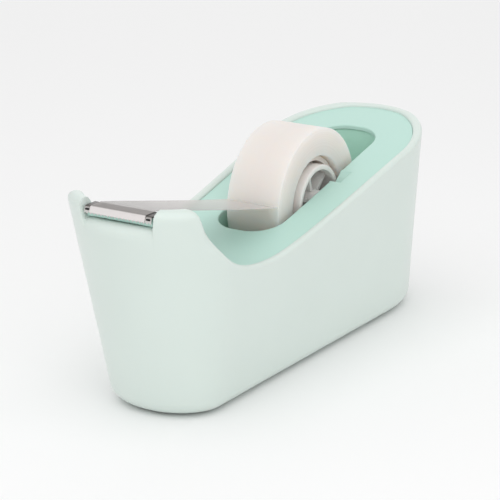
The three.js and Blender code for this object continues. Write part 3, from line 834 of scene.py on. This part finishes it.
# painted shade: near-black plastic laid where the blade's lip has its two small openings
SLOT_SHADE = plastic("blade_slot_painted_shade", (0.012, 0.012, 0.012), (0.008, 0.008, 0.008), 0.7)
STEEL = metal("pin_steel", (0.55, 0.56, 0.57), 0.28, brushed=(1, 0.1, 1))
SCREW = metal("screw_zinc", (0.48, 0.49, 0.5), 0.34)
BALLAST = plastic("ballast_iron", (0.12, 0.12, 0.125), (0.08, 0.08, 0.085), 0.75, grain=400, bump=0.4)
FOAM = plastic("foam_charcoal", (0.035, 0.036, 0.038), (0.02, 0.021, 0.022), 0.95, grain=1400, bump=0.7)

# ---- positions from the frame, mm ----


def node_box(name):
    """The corners of a CAD piece, in mm about the working datum."""
    low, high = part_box(name)
    return np.array(low) / MM - SHIFT, np.array(high) / MM - SHIFT


tape_low, tape_high = node_box("tape_windings")
TAPE_RADIUS = (tape_high[0] - tape_low[0]) / 2
TAPE_HALF = (tape_high[1] - tape_low[1]) / 2
blade_low, blade_high = node_box("cutter_blade")
core_low, core_high = node_box("tape_core")
CORE_HALF = (core_high[1] - core_low[1]) / 2
CORE_OUTER = (core_high[0] - core_low[0]) / 2
HUB_HALF = node_box("hub_wheel")[1][1]
BLADE_TOP, LIP_X = blade_high[2], blade_low[0]
FOLD_X = LIP_X + BLADE_FOLD

# ---- fixed pieces ----

casing = casing_mesh().object("casing", SHELL, sharp=50)
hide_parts("outer_shell")
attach(casing, "root")

deck = deck_mesh().object("deck", DECK, sharp=32)
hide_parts("deck_insert")
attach(deck, "root")

well = well_mesh().object("well", WELL, sharp=50)
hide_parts("tape_well")
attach(well, "root")

# ---- cutter ----

BEND_STEPS = 5


def blade_mesh():
    """The bent strip: level top, folded lip with saw teeth, and a tab down each side."""
    back_x, half = blade_high[0], blade_high[1]
    under_z, inner_bend = BLADE_TOP - BLADE_SHEET, 0.15
    teeth = int(round(2 * half / TOOTH_PITCH))
    pitch = 2 * half / teeth
    stations = []
    for i in range(teeth):
        y = -half + 2 * half * i / teeth
        stations += [(y, 0.0), (y + pitch * 0.5, TOOTH_HEIGHT)]
    stations.append((half, 0.0))
    upper = [(back_x, BLADE_TOP - 0.04), (back_x - 0.1, BLADE_TOP)]
    under = [(back_x, under_z)]
    for angle in quarter(BEND_STEPS):
        ahead, down = 1 - math.sin(angle), 1 - math.cos(angle)
        upper.append((FOLD_X + BLADE_BEND * ahead, BLADE_TOP - BLADE_BEND * down))
        under.append((FOLD_X + BLADE_SHEET + inner_bend * ahead, under_z - inner_bend * down))
    rows = []
    for y, cut in stations:
        end = BLADE_TOP - LIP_DROP + cut
        ring = [(x, y, z) for x, z in upper]
        for t in (0.5, 0.85, 1.0):
            ring.append((mix(FOLD_X, LIP_X, t), y, mix(BLADE_TOP - BLADE_BEND, end, t)))
        ring.append((LIP_X + BLADE_SHEET * 0.7, y, end + 0.12))
        ring.append((mix(FOLD_X, LIP_X, 0.5) + BLADE_SHEET, y, mix(under_z, end, 0.6)))
        rows.append(ring + [(x, y, z) for x, z in reversed(under)])
    build = Build()
    build.loft(rows)
    tab = rounded_box((FOLD_X + 1.5, back_x - 0.6), (BLADE_TOP - TAB_DROP, BLADE_TOP - 0.2), 0.3)
    build.prism(tab, -half, TAB_SHEET - half)
    build.prism(tab, half - TAB_SHEET, half)
    return build


def blade_slot_shades_mesh():
    """A patch of painted shade near each end of the lip, standing in for the small opening that is there;
    the opening itself is not cut.
    """
    face_x, behind, proud = LIP_X + 0.42, 0.15, 0.28
    inner_inset, outer_inset = 1.7, 0.4
    low_z, high_z = BLADE_TOP - 1.15, BLADE_TOP - 0.6
    build = Build()
    for side in (-1, 1):
        across = [side * (blade_high[1] - inset) for inset in (inner_inset, outer_inset)]
        patch = rounded_box(across, (low_z, high_z), 0.2, 3)
        build.loft([[(x, y, z) for y, z in patch] for x in (face_x - proud, face_x + behind)])
    return build


def bridge_mesh():
    """The bar under the blade, with a step down behind it."""
    low, high = node_box("cutter_bridge")
    build = Build()
    build.prism(fillet([
        (low[0] + 0.2, low[2]), (high[0], low[2]), (high[0], high[2] - 1.4),
        (high[0] - 2.0, high[2] - 1.1), (high[0] - 2.3, high[2]), (low[0], high[2])], 0.3), low[1], high[1])
    return build


blade = blade_mesh().object("blade", BLADE, sharp=30)
# the dark patches are painted shade in place of the lip's two openings
slot_shades = blade_slot_shades_mesh().object("blade_slot_shades", SLOT_SHADE, sharp=40)
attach(slot_shades, "root")
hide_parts("cutter_blade")
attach(blade, "root")

bridge = bridge_mesh().object("bridge", DECK, sharp=40)
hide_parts("cutter_bridge")
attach(bridge, "root")

# ---- tape roll ----


def add_ring(build, inner, outer, half, edge, steps):
    """A ring round the axle with rounded edges."""
    build.lathe(rounded_box((inner, outer), (-half, half), edge), AXLE, steps, closed=True)


def ring_mesh(*sizes):
    build = Build()
    add_ring(build, *sizes)
    return build


def hub_mesh():
    """Rim, boss, a thin web between them, spokes on the web and grips that hold the core."""
    build = Build()
    add_ring(build, HUB_INNER, HUB_OUTER, HUB_HALF, 0.5, 128)
    add_ring(build, BOSS_BORE, BOSS, HUB_HALF, 0.4, 64)
    web_in, web_out = BOSS - 0.2, HUB_INNER + 0.3
    web = [(web_in, -WEB_HALF), (web_out, -WEB_HALF), (web_out, WEB_HALF), (web_in, WEB_HALF)]
    build.lathe(web, AXLE, 96, closed=True)
    bars = (
        (BOSS - 0.3, HUB_INNER + 0.3, SPOKE_THICK, HUB_HALF - SPOKE_INSET),
        (HUB_OUTER - 0.3, CORE_INNER - GAP, GRIP_THICK, HUB_HALF - GRIP_INSET))
    for i in range(SPOKES):
        angle = -math.radians(360 / SPOKES * i + SPOKE_TURN)
        turn = np.array([[math.cos(angle), -math.sin(angle)], [math.sin(angle), math.cos(angle)]])
        for inner, outer, thick, half in bars:
            corners = rounded_box((inner, outer), (-thick / 2, thick / 2), 0.25, 3)
            placed = [tuple(turn @ np.array(c) + np.array([AXLE[0], AXLE[2]])) for c in corners]
            build.prism(placed, -half, half)
    return build


def pin_mesh():
    """The pin, with a rounded edge at each end."""
    low, high = node_box("axle_pin")
    half, radius = high[1], (high[0] - low[0]) / 2
    edge = [(0.01, half), (radius - 0.35, half), (radius - 0.1, half - 0.12), (radius, half - 0.35)]
    build = Build()
    build.lathe([(r, -y) for r, y in edge] + edge[::-1], AXLE, 48)
    return build


def centred(build, name, material, **options):
    """A piece whose object origin sits on the axle, so that its material can follow the turns."""
    obj = build.object(name, material, **options)
    centre = Vector((AXLE + SHIFT) * MM)
    obj.data.transform(Matrix.Translation(-centre))
    obj.location = centre
    return obj


windings = centred(
    ring_mesh(CORE_OUTER + GAP, TAPE_RADIUS, TAPE_HALF, 0.55, 160), "windings", TAPE, sharp=60)
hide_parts("tape_windings")
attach(windings, "roll")

core = centred(ring_mesh(CORE_INNER, CORE_OUTER, CORE_HALF, 0.3, 128), "core", CORE, sharp=60)
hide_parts("tape_core")
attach(core, "roll")

hub = centred(hub_mesh(), "hub", HUB, sharp=45)
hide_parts("hub_wheel")
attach(hub, "roll")

pin = pin_mesh().object("pin", STEEL, sharp=50)
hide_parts("axle_pin")
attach(pin, "axle")

# ---- free strip ----


def strip_path():
    """Side view of the strip: a slight sag, then level over the blade and down its lip."""
    peel = (AXLE[0] - TAPE_RADIUS - GAP * 0.4, AXLE[2] + PEEL_RISE)
    top_z = BLADE_TOP + 0.14
    fold_x = FOLD_X - 0.1
    path = []
    for t in np.linspace(0, 1, 25):
        sag = STRIP_SAG * math.sin(math.pi * t) * (1 - t)
        path.append((mix(peel[0], blade_high[0], t), mix(peel[1], top_z, t) - sag))
    for t in (0.35, 0.7, 0.9):
        path.append((mix(blade_high[0], fold_x + STRIP_BEND, t), top_z))
    for angle in quarter(BEND_STEPS, 1):
        ahead, down = STRIP_BEND * (1 - math.sin(angle)), STRIP_BEND * (1 - math.cos(angle))
        path.append((fold_x + ahead, top_z - down))
    end_x, end_z = LIP_X - 0.1, BLADE_TOP - LIP_DROP + 0.5
    for t in (0.3, 0.6, 1.0):
        path.append((mix(fold_x, end_x, t), mix(top_z - STRIP_BEND, end_z, t)))
    return np.array(path)


def strip_mesh():
    """The free strip as a closed sheet on its path."""
    half = node_box("tape_tail")[1][1]
    path = strip_path()
    tangent = np.gradient(path, axis=0)
    normal = np.stack([-tangent[:, 1], tangent[:, 0]], axis=1)
    normal /= np.linalg.norm(normal, axis=1)[:, None]
    if normal[0, 1] < 0:
        normal = -normal
    ring = np.concatenate([path, (path + normal * STRIP_SHEET)[::-1]])
    rows = [[(x, y, z) for x, z in ring] for y in np.linspace(-half, half, 9)]
    build = Build()
    build.grid(rows)
    count = len(path)
    for row in (rows[0], rows[-1]):
        first = build.add(row)
        for i in range(count - 1):
            opposite = first + 2 * count - 1 - i
            build.faces.append((first + i, first + i + 1, opposite - 1, opposite))
    return build


strip = strip_mesh().object("strip", FILM, sharp=60)
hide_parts("tape_tail")
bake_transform(strip)

# ---- base ----


def finish_node(name, material):
    """A plain CAD piece that keeps its shape and takes a finish."""
    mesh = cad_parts[name].data
    mesh.materials.clear()
    mesh.materials.append(material)


finish_node("base_plate", WELL)
finish_node("ballast_bar", BALLAST)
finish_node("foam_pad", FOAM)
for prefix, count in (("base_screw", 4), ("well_screw", 4), ("bridge_screw", 2)):
    for number in range(1, count + 1):
        finish_node(f"{prefix}_{number}", SCREW)

# ---- floor, light and camera ----

FLOOR_HALF, FLOOR_Z = 3000, -SHIFT[2] - 0.2
floor_build = Build()
floor_corners = ((-1, -1), (1, -1), (1, 1), (-1, 1))
floor_build.polygon([(x * FLOOR_HALF, y * FLOOR_HALF, FLOOR_Z) for x, y in floor_corners])
floor = floor_build.object("floor", floor_paint("floor_pale"))


def area_light(name, location, aim, size, power):
    """A square light at a place in metres, turned towards the aim."""
    data = bpy.data.lights.new(name, "AREA")
    data.shape = "SQUARE"
    data.size = size
    data.energy = power
    light = bpy.data.objects.new(name, data)
    bpy.context.collection.objects.link(light)
    light.location = location
    light.rotation_mode = "QUATERNION"
    light.rotation_quaternion = (Vector(aim) - Vector(location)).to_track_quat("-Z", "Y")


area_light("key_above", (-0.35, -0.12, 0.85), (0, 0, 0.03), 1.1, 2.9)
area_light("fill_front", (-0.5, -0.55, 0.45), (0, 0, 0.05), 0.6, 0.75)
area_light("back_low", (0.8, 0.5, 0.42), (0, 0, 0.05), 0.9, 0.8)

world = bpy.data.worlds.new("soft_white")
world.use_nodes = True
background = world.node_tree.nodes["Background"]
background.inputs["Color"].default_value = (1.0, 1.0, 1.0, 1)
background.inputs["Strength"].default_value = 0.71
bpy.context.scene.world = world
bpy.context.scene.view_settings.view_transform = "Standard"

# the camera stands in front and to the near side of the nose, a little above
CAMERA_TARGET = (-9.64, -1.74, 30.8)
CAMERA_AZIMUTH, CAMERA_ELEVATION, CAMERA_ROLL = -57.47, 17.7, -0.25
CAMERA_DISTANCE = 700.0
CAMERA_SENSOR, CAMERA_LENS = 36.0, 163.14
CAMERA_SHIFT = (0.0084, 0.0293)
camera_data = bpy.data.cameras.new("camera")
camera_data.sensor_width = CAMERA_SENSOR
camera_data.lens = CAMERA_LENS
camera_data.shift_x, camera_data.shift_y = CAMERA_SHIFT
camera_data.clip_start, camera_data.clip_end = 0.01, 20.0
camera = bpy.data.objects.new("camera", camera_data)
bpy.context.collection.objects.link(camera)
azimuth, elevation = math.radians(CAMERA_AZIMUTH), math.radians(CAMERA_ELEVATION)
level = math.cos(elevation)
back = Vector((math.sin(azimuth) * level, -math.cos(azimuth) * level, math.sin(elevation)))
camera.location = (Vector(CAMERA_TARGET) + Vector(SHIFT) + back * CAMERA_DISTANCE) * MM
camera.rotation_mode = "QUATERNION"
turn = (-back).to_track_quat("-Z", "Y")
camera.rotation_quaternion = turn @ Quaternion((0, 0, 1), math.radians(CAMERA_ROLL))
bpy.context.scene.camera = camera
